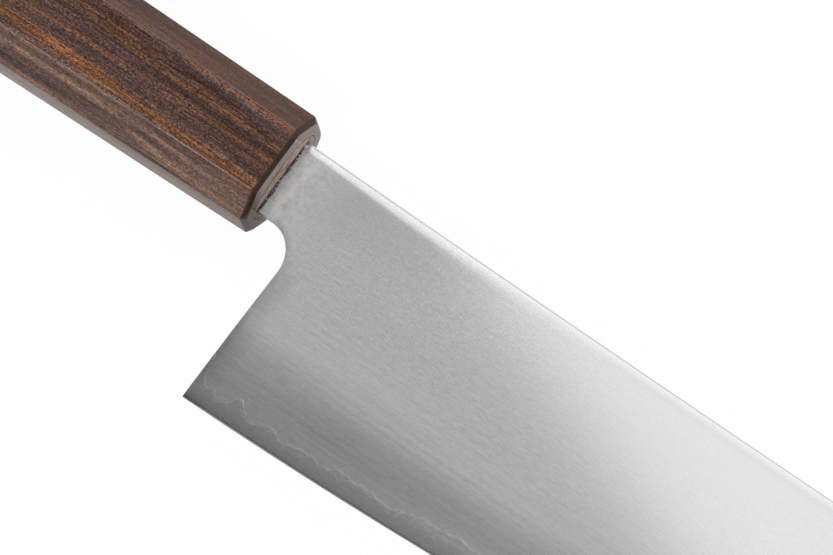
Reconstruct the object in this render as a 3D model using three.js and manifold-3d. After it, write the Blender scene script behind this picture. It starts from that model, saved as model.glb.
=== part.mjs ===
import * as THREE from 'three';
import { mergeVertices } from 'three/addons/utils/BufferGeometryUtils.js';
import Module from 'manifold-3d';

const wasm = await Module();
wasm.setup();

// A kiritsuke santoku: a three-layer blade on a stick tang, bedded in a one-piece octagonal handle.
// Working axes, in millimetres: x runs from the handle to the tip, y towards the spine, and z out of
// the right flank. The handle's front face is at x = 0 and its axis is y = z = 0.

// Blade outline
const tipReach = 178; // front face of the handle to the tip
const heelReach = 8.3; // front face of the handle to the heel corner
const heelDrop = 40.4; // handle axis down to the edge at the heel
const tipRise = 13.5; // edge at the tip, above the edge at the heel
const edgeBelly = 1.83; // how late the edge turns up, where 1 is a straight edge
const spineRise = 7.18; // handle axis up to the spine, at the handle
const spineFall = 1.8; // spine at the start of the angled tip, below the spine at the handle
const spineSag = 0.33; // hollow of the spine between those two points
const angledTipLength = 38; // sloping front of the spine, measured along x
const angledTipBlend = 3; // softness of the corner where that slope starts
const neckDrop = 7.45; // handle axis down to the underside of the neck
const choilRadius = 6.6; // curve from the neck into the back of the heel
const heelLean = THREE.MathUtils.degToRad(1.6); // back of the heel, off square to the handle

// Blade section
const flankThickness = 2.1; // across both flanks, on the spine at the handle
const distalTaper = 0.0026; // what each flank loses per millimetre towards the tip
const flankTaper = 0.006; // what each flank loses per millimetre down from the spine
const grindHeight = 17; // convex grind, from the edge up to the flat flank
const grindPower = 1.5; // fullness of the convex grind, where 1 is a flat bevel
const microBevelHeight = 0.35;
const microBevelThickness = 0.2; // blade thickness on top of the micro-bevel
const spineShoulder = 1.6; // height of the rounding along the spine
const spineRoundness = 2.4; // section of that rounding, where 2 is an ellipse
const choilEase = 0.3; // rounding of the choil, measured along the flank

// Layers of the blade
const coreHalf = 0.285; // hard core at the handle, from the mid-plane to its side
const coreTaper = 0.0002; // what each side of the core loses per millimetre towards the tip
const coreWaves = [[41, 0.012], [23, 0.014], [13.7, 0.015], [8.1, 0.01]]; // wavelengths and swings
const coreTurns = { right: 0.4, left: 2.1 }; // where those waves start on each side
const heelSwell = 0.27; // extra half thickness of the core at the heel
const heelSwellReach = 1.2; // distance in which that fades
const bondLine = 0.02; // between the core and each cladding

// Tang
const tangLength = 95; // part of the blade inside the handle
const neckInset = 4; // full-height neck inside the handle, before the tang tapers
const tangEndHeight = 6;
const tangEase = 0.05; // what each flank steps down at the tang

// Handle
const handleLength = 132;
const front = { height: 22, width: 17.2, chamfer: 4.65 };
const butt = { height: 25.4, width: 19.8, chamfer: 5.35 };
const frontRound = 1.3;
const buttRound = 1.6;
const arrisRound = 0.5; // eased corners between the facets
const endSoftness = 2.2; // how fast those corners open as the ends round over

// Mouth of the handle
const resinSide = 0.65; // resin on each flank of the neck, in a slot that runs on into the handle
const resinEdge = 0.35; // resin above and below the neck
const slotSpare = 3; // slot beyond the end of the tang
const sleeveSide = 3.6; // wall of the oval pale-wood sleeve beside the slot
const sleeveEnd = 0.8; // and above and below it
const sleeveDepth = 24;
const glueLine = 0.05; // clearance of every bedded face
const beadOverlap = 0.25; // resin standing over the rim of the slot
const beadRise = 0.55; // resin standing out of the front face
const beadUneven = 0.2;
const beadWaves = [[5, 1, 1], [11, 0.6, 0]]; // waves around the collar, their shares and where they start
const beadRings = [[0, 0], [0.5, 0.08], [1, 0.35]]; // shares of the rise, and how far the outline draws in
const beadSquareness = 0.35; // outline of that collar, where 1 is an ellipse and 0 a rectangle

// Mesh steps
const bodyColumns = 58;
const tipColumns = 18;
const grindRows = [0.07, 0.14, 0.22, 0.31, 0.41, 0.53, 0.66, 0.82, 1]; // shares of grindHeight
const spineRows = [1, 0.66, 0.36, 0.14, 0.03]; // shares of spineShoulder
const coreStep = 1.7;
const curveSteps = 12;
const roundSteps = 4;
const arrisSteps = 2;
const ovalSteps = 40;
const rimLevels = [0.35, 0.6, 0.8, 0.93, 1, 1.5]; // shares of the neck's half thickness
const rowRoom = 1.25; // height that grind and spine need on a section, as a share of both
const cutMargin = 20; // how far a cutting shape reaches past what it cuts
const weldDistance = 1e-4;

const axisX = new THREE.Vector3(1, 0, 0);
const axisY = new THREE.Vector3(0, 1, 0);
const axisZ = new THREE.Vector3(0, 0, 1);
const { lerp } = THREE.MathUtils;

// Curves of the blade

function softMin(a, b, blend) {
  const share = Math.max(blend - Math.abs(a - b), 0) / blend;
  return Math.min(a, b) - (share * share * blend) / 4;
}

const slopeStart = tipReach - angledTipLength;

function spineLine(x) {
  const along = x / slopeStart;
  return spineRise - spineFall * along - 4 * spineSag * along * (1 - along);
}

function edgeLine(x) {
  const along = Math.max(0, (x - heelReach) / (tipReach - heelReach));
  return tipRise * along ** edgeBelly - heelDrop;
}

function slopeLine(x) {
  return lerp(edgeLine(tipReach), spineLine(slopeStart), (tipReach - x) / angledTipLength);
}

function topLine(x) {
  return softMin(spineLine(x), slopeLine(x), angledTipBlend);
}

function flankHalf(x, y) {
  return flankThickness / 2 - distalTaper * x - flankTaper * (spineRise - y);
}

// Distance from the mid-plane to the ground surface: flat flank, convex grind, micro-bevel, round spine.
function halfThickness(x, y) {
  const height = y - edgeLine(x);
  const bevelHalf = microBevelThickness / 2;
  if (height <= microBevelHeight) {
    return (bevelHalf * height) / microBevelHeight;
  }
  const below = Math.max(0, 1 - (height - microBevelHeight) / (grindHeight - microBevelHeight));
  const removed = flankHalf(x, edgeLine(x) + microBevelHeight) - bevelHalf;
  const ground = flankHalf(x, y) - removed * below ** grindPower;
  const fromSpine = Math.max(0, 1 - (topLine(x) - y) / spineShoulder);
  return ground * (1 - fromSpine ** spineRoundness) ** (1 / spineRoundness);
}

function coreLine(x, turn) {
  const swell = heelSwell * Math.exp(-Math.abs(x - heelReach) / heelSwellReach);
  const wave = ([length, swing], i) => swing * Math.sin((2 * Math.PI * x) / length + turn * (i + 1));
  const waves = coreWaves.map(wave).reduce((sum, value) => sum + value);
  return coreHalf - coreTaper * x + swell + waves;
}

// Solids

// Closed skin over a row of rings, each counter-clockwise as seen from the far end of the row.
function loft(rings, flatten) {
  const count = rings[0].length;
  const index = [];
  for (let i = 0; i + 1 < rings.length; i++) {
    for (let k = 0; k < count; k++) {
      const next = (k + 1) % count;
      const [a, b] = [i * count + k, i * count + next];
      index.push(a, b, b + count, a, b + count, a + count);
    }
  }
  const last = (rings.length - 1) * count;
  for (const [p, q, r] of THREE.ShapeUtils.triangulateShape(rings[0].map(flatten), [])) {
    index.push(r, q, p);
  }
  for (const [p, q, r] of THREE.ShapeUtils.triangulateShape(rings.at(-1).map(flatten), [])) {
    index.push(last + p, last + q, last + r);
  }
  return new THREE.BufferGeometry().setFromPoints(rings.flat()).setIndex(index);
}

const acrossX = (p) => new THREE.Vector2(p.y, p.z);
const acrossZ = (p) => new THREE.Vector2(p.x, p.y);

// Shapes drawn in (y, z), (z, x) and (x, y), pushed along the axis that is left.
function push(shape, from, to, basis, axis) {
  const geometry = new THREE.ExtrudeGeometry(shape, { depth: to - from, bevelEnabled: false, steps: 1 });
  geometry.applyMatrix4(new THREE.Matrix4().makeBasis(...basis));
  return geometry.translate(axis.x * from, axis.y * from, axis.z * from);
}
const pushX = (shape, from, to) => push(shape, from, to, [axisY, axisZ, axisX], axisX);
const pushY = (shape, from, to) => push(shape, from, to, [axisZ, axisX, axisY], axisY);
const pushZ = (shape, from, to) => push(shape, from, to, [axisX, axisY, axisZ], axisZ);

function solid(geometry) {
  const bare = geometry.clone();
  bare.deleteAttribute('normal');
  bare.deleteAttribute('uv');
  const merged = mergeVertices(bare, weldDistance);
  const corners = [...merged.index.array];
  const kept = [];
  for (let i = 0; i < corners.length; i += 3) {
    const [a, b, c] = corners.slice(i, i + 3);
    if (a !== b && b !== c && c !== a) {
      kept.push(a, b, c);
    }
  }
  const vertProperties = Float32Array.from(merged.attributes.position.array);
  return new wasm.Manifold(new wasm.Mesh({ numProp: 3, vertProperties, triVerts: Uint32Array.from(kept) }));
}

function skin(body) {
  const { vertProperties, triVerts } = body.getMesh();
  const geometry = new THREE.BufferGeometry();
  geometry.setAttribute('position', new THREE.BufferAttribute(Float32Array.from(vertProperties), 3));
  geometry.setIndex([...triVerts]);
  geometry.computeVertexNormals();
  return geometry;
}

// Blade

// One closed section of the blade: up the left side from the edge, and down the right side.
function bladeRing(x) {
  const edge = edgeLine(x);
  const height = topLine(x) - edge;
  const fit = Math.min(1, height / (rowRoom * (grindHeight + spineShoulder)));
  const rise = [
    microBevelHeight * fit,
    ...grindRows.map((share) => share * grindHeight * fit),
    ...spineRows.map((share) => height - share * spineShoulder * fit),
  ];
  const point = (h, side) => new THREE.Vector3(x, edge + h, side * halfThickness(x, edge + h));
  const left = rise.map((h) => point(h, -1));
  const right = rise.map((h) => point(h, 1)).reverse();
  return [point(0, 0), ...left, new THREE.Vector3(x, edge + height, 0), ...right];
}

function groundBar() {
  const body = Array.from({ length: bodyColumns }, (_, i) => lerp(-neckInset, slopeStart, i / bodyColumns));
  const slope = Array.from({ length: tipColumns }, (_, i) => lerp(slopeStart, tipReach, i / tipColumns));
  const rings = [...body, ...slope].map(bladeRing);
  const tip = new THREE.Vector3(tipReach, edgeLine(tipReach), 0);
  return loft([...rings, rings[0].map(() => tip)], acrossX);
}

// What is cut away under the neck and behind the heel, wider towards the flanks so that the rim is eased.
function choilCutter() {
  const centreY = -neckDrop - choilRadius;
  const fall = (heelDrop + centreY) * Math.sin(heelLean);
  const centreX = heelReach - (choilRadius - fall) / Math.cos(heelLean);
  const rim = flankHalf(0, -neckDrop);
  const left = -neckInset - cutMargin;
  const low = -heelDrop - cutMargin;
  const ringAt = (z) => {
    const depth = Math.min(1, Math.abs(z) / rim);
    const ease = choilEase * (1 - (1 - depth ** spineRoundness) ** (1 / spineRoundness));
    const radius = choilRadius + ease;
    const curve = new THREE.EllipseCurve(centreX, centreY, radius, radius, -heelLean, Math.PI / 2);
    const arc = curve.getPoints(curveSteps);
    const foot = arc[0].x - (arc[0].y - low) * Math.tan(heelLean);
    const outline = [new THREE.Vector2(left, low), new THREE.Vector2(foot, low), ...arc];
    outline.push(new THREE.Vector2(left, centreY + radius));
    return outline.map((p) => new THREE.Vector3(p.x, p.y, z));
  };
  const levels = rimLevels.map((share) => share * rim);
  return loft([...levels.map((z) => -z).reverse(), 0, ...levels].map(ringAt), acrossZ);
}

// Outline of the neck and tang inside the handle, grown by a clearance.
function tangShape(grow, reach) {
  const end = -tangLength - grow;
  const high = spineLine(-neckInset) + grow;
  const half = tangEndHeight / 2 + grow;
  const shape = new THREE.Shape();
  shape.moveTo(reach, -neckDrop - grow);
  shape.lineTo(reach, high);
  shape.lineTo(-neckInset - grow, high);
  shape.lineTo(end, half);
  shape.lineTo(end, -half);
  shape.lineTo(-neckInset - grow, -neckDrop - grow);
  return shape;
}

const tangInBar = neckInset / 2;
const tangHalf = flankThickness / 2 - tangEase;
const tang = pushZ(tangShape(-spineShoulder / 2, -tangInBar), -tangHalf, tangHalf);
const blade = solid(groundBar()).subtract(solid(choilCutter())).add(solid(tang));

// Space between two curves over x, taken through the whole height of the blade.
function layer(lower, upper) {
  const from = -tangLength - cutMargin;
  const to = tipReach + cutMargin;
  const count = Math.ceil((tipReach + neckInset) / coreStep);
  const inner = Array.from({ length: count + 1 }, (_, i) => lerp(-neckInset, tipReach, i / count));
  const stations = [from, ...inner, to];
  const outline = [
    ...stations.map((x) => new THREE.Vector2(upper(x), x)),
    ...stations.map((x) => new THREE.Vector2(lower(x), x)).reverse(),
  ];
  return solid(pushY(new THREE.Shape(outline), -heelDrop - cutMargin, spineRise + cutMargin));
}

const coreRight = (x) => coreLine(x, coreTurns.right);
const coreLeft = (x) => -coreLine(x, coreTurns.left);
const coreSteel = blade.intersect(layer(coreLeft, coreRight));
const claddingRight = blade.intersect(layer((x) => coreRight(x) + bondLine, () => flankThickness));
const claddingLeft = blade.intersect(layer(() => -flankThickness, (x) => coreLeft(x) - bondLine));

// Handle

function handleSize(x) {
  const along = -x / handleLength;
  return {
    height: lerp(front.height, butt.height, along),
    width: lerp(front.width, butt.width, along),
    chamfer: lerp(front.chamfer, butt.chamfer, along),
  };
}

// Octagon of the handle at x with eased corners, drawn in by an inset that keeps its sides parallel.
function handleRing(x, inset) {
  const { height, width, chamfer } = handleSize(x);
  const radius = arrisRound + endSoftness * inset;
  const drawn = inset + radius;
  const [y, z] = [height / 2 - drawn, width / 2 - drawn];
  const cut = chamfer - (2 - Math.SQRT2) * drawn;
  const half = [[y, cut - z], [y, z - cut], [y - cut, z], [cut - y, z]];
  const centres = [...half, ...half.map(([a, b]) => [-a, -b])];
  return centres.flatMap(([a, b], k) =>
    Array.from({ length: arrisSteps + 1 }, (_, i) => {
      const turn = (Math.PI / 4) * (k - 1 + i / arrisSteps);
      return new THREE.Vector3(x, a + radius * Math.cos(turn), b + radius * Math.sin(turn));
    }),
  );
}

function handleBlank() {
  const turns = Array.from({ length: roundSteps + 1 }, (_, i) => (i / roundSteps) * (Math.PI / 2));
  const roundEnd = (end, inward, radius) =>
    turns.map((t) => handleRing(end + inward * radius * (1 - Math.sin(t)), radius * (1 - Math.cos(t))));
  const buttEnd = roundEnd(-handleLength, 1, buttRound).reverse();
  return loft([...buttEnd, ...roundEnd(0, -1, frontRound)], acrossX);
}

const slotHalfHeight = Math.max(neckDrop, spineLine(-neckInset)) + resinEdge;
const slotHalfWidth = flankThickness / 2 + resinSide;
const slotDepth = tangLength + slotSpare;

function slotShape(grow) {
  const [y, z] = [slotHalfHeight + grow, slotHalfWidth + grow];
  return new THREE.Shape([[-y, -z], [y, -z], [y, z], [-y, z]].map(([a, b]) => new THREE.Vector2(a, b)));
}

function ovalShape(grow) {
  const [y, z] = [slotHalfHeight + sleeveEnd + grow, slotHalfWidth + sleeveSide + grow];
  const curve = new THREE.EllipseCurve(0, 0, y, z);
  return new THREE.Shape(curve.getPoints(ovalSteps).slice(0, -1));
}

const handleBody = solid(handleBlank())
  .subtract(solid(pushX(ovalShape(glueLine), -sleeveDepth - glueLine, cutMargin)))
  .subtract(solid(pushX(slotShape(0), -slotDepth, cutMargin)));

function sleeveGeometry() {
  const shape = ovalShape(0);
  shape.holes.push(new THREE.Path(slotShape(0).getPoints()));
  return pushX(shape, -sleeveDepth, 0);
}

// Resin that wells out of the slot: an uneven collar around the neck, resting on the sleeve.
function beadGeometry() {
  const square = (v) => Math.sign(v) * Math.abs(v) ** beadSquareness;
  const ringAt = (share, shrink) =>
    Array.from({ length: ovalSteps }, (_, i) => {
      const t = (2 * Math.PI * i) / ovalSteps;
      const waves = beadWaves.map(([count, swing, start]) => swing * Math.sin(count * t + start));
      const uneven = beadUneven * share * waves.reduce((sum, value) => sum + value);
      const y = (slotHalfHeight + beadOverlap - shrink) * square(Math.cos(t));
      const z = (slotHalfWidth + beadOverlap - shrink) * square(Math.sin(t));
      return new THREE.Vector3(glueLine + share * beadRise + uneven, y, z);
    });
  return loft(beadRings.map(([share, shrink]) => ringAt(share, shrink)), acrossX);
}

const neckHalf = flankHalf(-neckInset, spineLine(-neckInset)) + glueLine;
const tangSpace = pushZ(tangShape(glueLine, cutMargin), -neckHalf, neckHalf);
const epoxyBed = solid(pushX(slotShape(-glueLine), glueLine - slotDepth, 2 * glueLine))
  .add(solid(beadGeometry()))
  .subtract(solid(tangSpace));

// Assembly, placed with the middle of its footprint at the origin and its lowest facet on z = 0

function piece(name, geometry, color, roughness, metalness) {
  const mesh = new THREE.Mesh(geometry, new THREE.MeshStandardMaterial({ color, roughness, metalness }));
  mesh.name = name;
  return mesh;
}

const widest = handleSize(buttRound - handleLength);
const knife = new THREE.Group();
knife.add(
  piece('core_steel', skin(coreSteel), 0x8e8f91, 0.3, 1),
  piece('cladding_right', skin(claddingRight), 0xb4b4b6, 0.38, 1),
  piece('cladding_left', skin(claddingLeft), 0xb4b4b6, 0.38, 1),
  piece('handle_body', skin(handleBody), 0x4f392d, 0.25, 0),
  piece('tang_sleeve', skin(solid(sleeveGeometry())), 0xaa917d, 0.7, 0),
  piece('epoxy_bed', skin(epoxyBed), 0x1c1a19, 0.2, 0),
);
knife.position.set((handleLength - tipReach) / 2, (heelDrop - widest.height / 2) / 2, widest.width / 2);

export default knife;
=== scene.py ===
import functools
import math

import bmesh
import bpy
import numpy as np
from mathutils import Matrix, Vector


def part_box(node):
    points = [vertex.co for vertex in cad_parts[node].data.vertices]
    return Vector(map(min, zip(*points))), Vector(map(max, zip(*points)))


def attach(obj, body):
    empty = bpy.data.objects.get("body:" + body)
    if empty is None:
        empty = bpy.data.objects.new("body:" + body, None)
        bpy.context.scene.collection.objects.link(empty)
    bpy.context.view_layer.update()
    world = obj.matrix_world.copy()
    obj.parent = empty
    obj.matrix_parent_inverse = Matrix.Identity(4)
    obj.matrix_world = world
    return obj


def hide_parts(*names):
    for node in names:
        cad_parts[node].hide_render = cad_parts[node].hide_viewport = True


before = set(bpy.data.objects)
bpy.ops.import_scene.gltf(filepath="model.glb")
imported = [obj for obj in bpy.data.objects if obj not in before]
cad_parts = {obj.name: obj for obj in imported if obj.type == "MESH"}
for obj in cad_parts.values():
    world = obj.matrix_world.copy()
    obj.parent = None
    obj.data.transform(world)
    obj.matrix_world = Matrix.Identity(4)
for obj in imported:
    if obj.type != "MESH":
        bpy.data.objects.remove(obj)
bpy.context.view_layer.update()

# Knife axes, in millimetres: x from the handle to the tip, y towards the spine, z out of the right flank.
# The middle of the handle's front face is x = y = z = 0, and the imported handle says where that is.
mm = 0.001
handleLow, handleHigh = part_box("handle_body")
mouth = np.array((handleHigh.x, (handleLow.y + handleHigh.y) / 2, (handleLow.z + handleHigh.z) / 2))
print("frame loaded, handle front at", [round(v / mm, 3) for v in mouth])

seamWidth = 0.0005 * mm  # corners closer than this are merged
halvings = 40  # steps that close in on a place along a curve
nearby = 0.01  # millimetres by which corners may miss a plane


def place(points):  # knife millimetres to metres in the frame
    return mouth + np.asarray(points, float) * mm


def cornersOf(piece):  # back to knife millimetres
    spots = np.empty(len(piece.data.vertices) * 3)
    piece.data.vertices.foreach_get("co", spots)
    return (spots.reshape(-1, 3) - mouth) / mm


def hexColor(code):  # sRGB to linear
    parts = [int(code[i : i + 2], 16) / 255 for i in (1, 3, 5)]
    return tuple(p / 12.92 if p <= 0.04045 else ((p + 0.055) / 1.055) ** 2.4 for p in parts) + (1.0,)


def smoothStep(low, high, value):
    share = np.clip((value - low) / (high - low), 0, 1)
    return share * share * (3 - 2 * share)


# Modelling helpers

def clearSelection():
    if bpy.context.mode != "OBJECT":
        bpy.ops.object.mode_set(mode="OBJECT")
    bpy.ops.object.select_all(action="DESELECT")


def makeActive(piece):
    clearSelection()
    piece.select_set(True)
    bpy.context.view_layer.objects.active = piece


def block(name, low, high):  # a cube between two corners
    clearSelection()
    bpy.ops.mesh.primitive_cube_add(size=1)
    piece = bpy.context.active_object
    piece.name = name
    low, high = place(low), place(high)
    moved = Matrix.Translation(Vector((low + high) / 2)) @ Matrix.Diagonal((*(high - low), 1))
    piece.data.transform(moved)
    return piece


def pick(piece, kind, test):  # selects in edit mode what passes a test of its corners, in knife millimetres
    makeActive(piece)
    bpy.ops.object.mode_set(mode="EDIT")
    bpy.ops.mesh.select_mode(type=kind)
    bpy.ops.mesh.select_all(action="DESELECT")
    bpy.ops.object.mode_set(mode="OBJECT")
    mesh, spots = piece.data, cornersOf(piece)
    for part in {"VERT": mesh.vertices, "EDGE": mesh.edges, "FACE": mesh.polygons}[kind]:
        own = [part.index] if kind == "VERT" else list(part.vertices)
        part.select = bool(test(spots[own]))
    bpy.ops.object.mode_set(mode="EDIT")


def shapeGrid(name, points):  # a grid whose corners are moved onto rows of points
    rows, columns = points.shape[:2]
    clearSelection()
    bpy.ops.mesh.primitive_grid_add(x_subdivisions=columns - 1, y_subdivisions=rows - 1, size=1)
    skin = bpy.context.active_object
    skin.name = name
    spots = np.empty(rows * columns * 3)
    skin.data.vertices.foreach_get("co", spots)
    spots = spots.reshape(-1, 3)
    column = np.rint((spots[:, 0] + 0.5) * (columns - 1)).astype(int)
    row = np.rint((spots[:, 1] + 0.5) * (rows - 1)).astype(int)
    skin.data.vertices.foreach_set("co", place(points[row, column]).ravel())
    skin.data.update()
    return skin


def joinSkins(skins):
    makeActive(skins[0])
    for skin in skins[1:]:
        skin.select_set(True)
    bpy.ops.object.join()
    return bpy.context.active_object


def closeSkin(piece):  # merges seams, fills what is open and turns the faces out
    makeActive(piece)
    bpy.ops.object.mode_set(mode="EDIT")
    bpy.ops.mesh.select_mode(type="VERT")
    bpy.ops.mesh.select_all(action="SELECT")
    bpy.ops.mesh.remove_doubles(threshold=seamWidth)
    bpy.ops.mesh.dissolve_degenerate(threshold=seamWidth)
    bpy.ops.mesh.select_all(action="DESELECT")
    bpy.ops.mesh.select_non_manifold(
        extend=False, use_wire=False, use_multi_face=False, use_non_contiguous=False
    )
    bpy.ops.mesh.edge_face_add()
    bpy.ops.mesh.select_all(action="SELECT")
    bpy.ops.mesh.normals_make_consistent(inside=False)
    bpy.ops.object.mode_set(mode="OBJECT")
    solid = bmesh.new()
    solid.from_mesh(piece.data)
    if solid.calc_volume(signed=True) < 0:  # thin shapes can come out turned in
        piece.data.flip_normals()
    solid.free()


def carve(piece, tool, operation, solver):  # in millimetres meanwhile, so that small faces are cut cleanly
    for shape in (piece, tool):
        shape.data.transform(Matrix.Scale(1 / mm, 4))
    makeActive(piece)
    step = piece.modifiers.new("carve", "BOOLEAN")
    step.operation, step.object, step.solver = operation, tool, solver
    bpy.ops.object.modifier_apply(modifier=step.name)
    for shape in (piece, tool):
        shape.data.transform(Matrix.Scale(mm, 4))


def measure(piece, name, values):  # one number at each corner, for the materials
    layer = piece.data.attributes.new(name, "FLOAT", "POINT")
    layer.data.foreach_set("value", values.astype(np.float32))


def finishPiece(piece, slot, material, smoothAngle, *nodes):
    makeActive(piece)
    bpy.ops.object.shade_smooth_by_angle(angle=math.radians(smoothAngle))
    piece.data.materials.clear()
    piece.data.materials.append(material)
    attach(piece, "root")
    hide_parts(*nodes)
    print(piece.name, "has", sum(len(f.vertices) - 2 for f in piece.data.polygons), "triangles")


# Inputs are named or in the node's own order: for MapRange the value, two ends of it and what they give.
# The output that is asked for comes back.
def addNode(tree, kind, inputs=(), out=0, stops=None, **settings):
    node = tree.nodes.new("ShaderNode" + kind)
    for name, value in settings.items():
        setattr(node, name, value)
    if stops:
        elements = node.color_ramp.elements
        while len(elements) < len(stops):
            elements.new(1.0)
        for element, (position, color) in zip(elements, stops):
            element.position, element.color = position, color
    for socket, value in inputs.items() if isinstance(inputs, dict) else enumerate(inputs):
        if isinstance(value, bpy.types.NodeSocket):
            tree.links.new(value, node.inputs[socket])
        else:
            node.inputs[socket].default_value = value
    return node.outputs[out] if node.outputs else None


def emptyTree(owner):  # gives addNode for the owner's own nodes
    owner.use_nodes = True
    owner.node_tree.nodes.clear()
    return functools.partial(addNode, owner.node_tree)


def newMaterial(name):
    material = bpy.data.materials.new(name)
    return material, emptyTree(material)


# Blade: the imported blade's own curves and ground section, drawn finer

blade = {
    "tipReach": 178.0, "heelReach": 8.3, "heelDrop": 40.4,  # from the middle of the handle's front face
    "tipRise": 13.5, "edgeBelly": 1.83,
    "spineRise": 7.18, "spineFall": 1.8, "spineSag": 0.33,
    "angledTipLength": 38.0, "angledTipBlend": 3.0,
    "neckDrop": 7.45, "choilRadius": 6.6, "heelLean": math.radians(1.6),
    "flankHalf": 1.05, "distalTaper": 0.0026, "flankTaper": 0.006,
    "grindHeight": 17.0, "grindPower": 1.5,
    "microBevelHeight": 0.35, "microBevelHalf": 0.112,
    "spineShoulder": (1.65, 2.25), "spineGrowth": 32.0, "spineRoundness": 2.4,  # at the neck and past it
    "edgeRoll": 0.032, "edgeRollAtHeel": 0.045, "edgeRollHeight": 2.6, "heelLength": 6.0,
    "rimWidth": 1.6, "rimDepth": 0.04, "rimDepthAtHeel": 0.06,  # eased choil, depths as shares of the flank
    "claddingStop": 0.2,  # how far before the tip gets too thin for any cladding
    "neckInset": 4.0, "tangEnd": -94.2, "tangHigh": 6.4, "tangLow": -6.65,
    "tangEndHalf": 2.2, "tangThinning": 0.925,
    "smoothAngle": 14,
}
slopeStart = blade["tipReach"] - blade["angledTipLength"]


def spineLine(x):
    along = x / slopeStart
    return blade["spineRise"] - blade["spineFall"] * along - 4 * blade["spineSag"] * along * (1 - along)


def edgeLine(x):
    along = np.maximum(0, (x - blade["heelReach"]) / (blade["tipReach"] - blade["heelReach"]))
    return blade["tipRise"] * along ** blade["edgeBelly"] - blade["heelDrop"]


def topLine(x):  # the spine, and past it the angled tip
    share = (blade["tipReach"] - x) / blade["angledTipLength"]
    foot = edgeLine(blade["tipReach"])
    slope = foot + (spineLine(slopeStart) - foot) * share
    spine = spineLine(x)
    blend = np.maximum(blade["angledTipBlend"] - abs(spine - slope), 0) / blade["angledTipBlend"]
    return np.minimum(spine, slope) - blend**2 * blade["angledTipBlend"] / 4


lean = blade["heelLean"]
choilY = -blade["neckDrop"] - blade["choilRadius"]
choilFall = (blade["heelDrop"] + choilY) * math.sin(lean)
choilX = blade["heelReach"] - (blade["choilRadius"] - choilFall) / math.cos(lean)


def choilGap(x, y):  # distance into the steel from the choil and the back of the heel
    across, up = x - choilX, y - choilY
    beside = across * math.cos(lean) - up * math.sin(lean)
    gap = np.where(across * math.sin(lean) + up * math.cos(lean) <= 0, beside, np.hypot(across, up))
    gap = np.where(across <= 0, up, gap)
    return gap - blade["choilRadius"]


def flankHalf(x, y):
    return blade["flankHalf"] - blade["distalTaper"] * x - blade["flankTaper"] * (blade["spineRise"] - y)


def halfThickness(x, y):  # flat flank, convex grind, micro-bevel, round spine and eased choil
    edge, bevel = edgeLine(x), blade["microBevelHeight"]
    height = y - edge
    below = np.clip(1 - (height - bevel) / (blade["grindHeight"] - bevel), 0, 1)
    removed = flankHalf(x, edge + bevel) - blade["microBevelHalf"]
    ground = flankHalf(x, y) - removed * below ** blade["grindPower"]
    rolled = np.clip(1 - (height - bevel) / blade["edgeRollHeight"], 0, 1) ** 2
    nearHeel = 1 - smoothStep(blade["heelReach"], blade["heelReach"] + blade["heelLength"], x)
    roll = blade["edgeRoll"] + (blade["edgeRollAtHeel"] - blade["edgeRoll"]) * nearHeel
    ground = ground - roll * rolled
    atBevel = blade["microBevelHalf"] - roll
    ground = np.where(height <= bevel, atBevel * np.maximum(height, 0) / bevel, ground)
    power = blade["spineRoundness"]
    narrow, wide = blade["spineShoulder"]
    shoulder = narrow + (wide - narrow) * smoothStep(0, blade["spineGrowth"], x)
    fromSpine = np.clip(1 - (topLine(x) - y) / shoulder, 0, 1)
    fromRim = np.clip(1 - choilGap(x, y) / blade["rimWidth"], 0, 1)
    heelward = smoothStep(choilY, -blade["heelDrop"], y)
    depth = blade["rimDepth"] + (blade["rimDepthAtHeel"] - blade["rimDepth"]) * heelward
    eased = 1 - depth * fromRim**2
    return ground * (1 - fromSpine**power) ** (1 / power) * eased


# The line between core and cladding wanders: drawn near the heel, waves beyond it.
bond = {
    "coreHalf": 0.285, "coreTaper": 0.0002,
    "gap": 0.0006, "opening": 0.0012,  # the layers are parted by a hair that opens and closes
    "blur": 0.35, "blurSteps": 7, "offHeel": 0.2, "fadeOut": 8.0,  # of the drawn line
    "heelSwell": 0.1, "heelSwellLength": 0.8,  # on the side where nothing is drawn
}
rightSide, leftSide = (1, 0.4, True), (-1, 2.1, False)  # which way, turn of the waves, drawn or not
# Each pair is a place along the blade and the line's height above the edge.
wander = [
    (8.3, 10.0), (8.9, 9.0), (9.15, 7.4), (9.3, 5.7), (9.6, 4.5), (10.25, 3.75), (10.85, 3.4), (11.4, 3.8),
    (12.1, 4.05), (12.6, 3.4), (13.0, 2.5), (14.2, 2.7), (15.4, 3.3), (15.9, 4.2), (16.4, 4.8), (17.25, 5.2),
    (18.0, 4.4), (18.75, 3.4), (19.4, 2.6), (20.5, 2.5), (21.75, 3.15), (23.0, 3.65), (24.1, 3.9),
    (25.0, 3.65), (25.75, 2.7), (27.2, 2.6), (28.4, 3.0), (29.5, 3.4), (31.0, 3.5), (32.25, 3.7),
    (33.25, 3.1), (34.5, 2.75), (36.0, 3.15), (37.25, 3.85), (38.75, 4.05), (40.5, 3.5), (43.0, 3.65),
    (44.0, 3.8), (45.5, 3.3), (48.5, 2.95), (50.0, 3.5), (52.0, 4.15), (54.0, 4.4), (56.0, 4.3),
    (58.5, 4.45), (61.0, 4.9), (63.5, 4.2), (65.5, 4.8), (70.0, 4.6),
]
# Waves: length and swing, and how far each is turned.
bondWaves = [(41, 0.012), (23, 0.014), (13.7, 0.015), (8.1, 0.012), (4.6, 0.009), (2.9, 0.006)]
bondRags = [(2.3, 0.07, 0), (1.45, 0.06, 1), (0.9, 0.04, 2)]  # fine raggedness of the drawn line's height
bondPulse = [(7.3, 0.5, 0.3), (3.1, 0.5, 1.9), (1.7, 0.5, 4.0)]  # opening and closing of the gap


def waving(x, waves):
    return sum(swing * np.sin(2 * np.pi * x / length + turn) for length, swing, turn in waves)


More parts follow.
